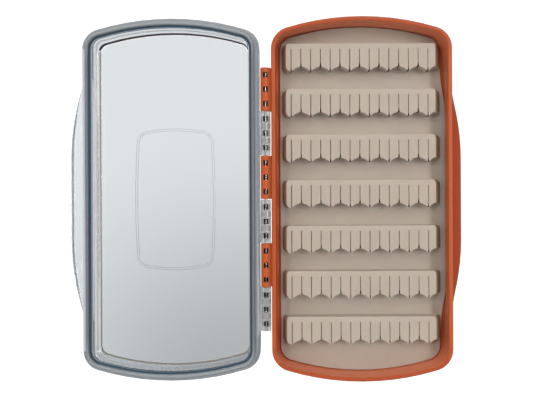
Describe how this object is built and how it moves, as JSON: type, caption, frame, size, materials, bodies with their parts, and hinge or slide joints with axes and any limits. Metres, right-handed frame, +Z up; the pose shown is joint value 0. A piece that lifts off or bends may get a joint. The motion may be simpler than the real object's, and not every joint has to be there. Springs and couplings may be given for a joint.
{
  "type": "fly box",
  "caption": "Slim fly box in two halves on a knuckle hinge: bowed base with finger grips and slit-row mat, clear lid with a plug-in bead seal.",
  "frame": {"origin": "centre of the open box's footprint, on the table, under the hinge axis", "axes": "+X across the hinge towards the base half, +Y along the hinge towards the rows' straight backs, +Z up"},
  "size_m": [0.201, 0.184, 0.0185],
  "materials": {
    "orange_shell": "satin",
    "clear_lid": "clear polished",
    "grey_seal": "matte",
    "pin_steel": "bright",
    "beige_mat": "matte"
  },
  "bodies": {
    "base": {"base_shell": "orange_shell", "hinge_pin": "pin_steel", "mat_sheet": "beige_mat", "slit_row_1": "beige_mat", "slit_row_2": "beige_mat", "slit_row_3": "beige_mat", "slit_row_4": "beige_mat", "slit_row_5": "beige_mat", "slit_row_6": "beige_mat", "slit_row_7": "beige_mat"},
    "lid": {"lid_shell": "clear_lid", "lid_seal": "grey_seal"}
  },
  "joints": [
    {"name": "lid_hinge", "type": "hinge", "parent": "base", "child": "lid", "pos_m": [0, 0, 0.016], "axis": [0, 1, 0], "range_deg": [0, 180]}
  ]
}
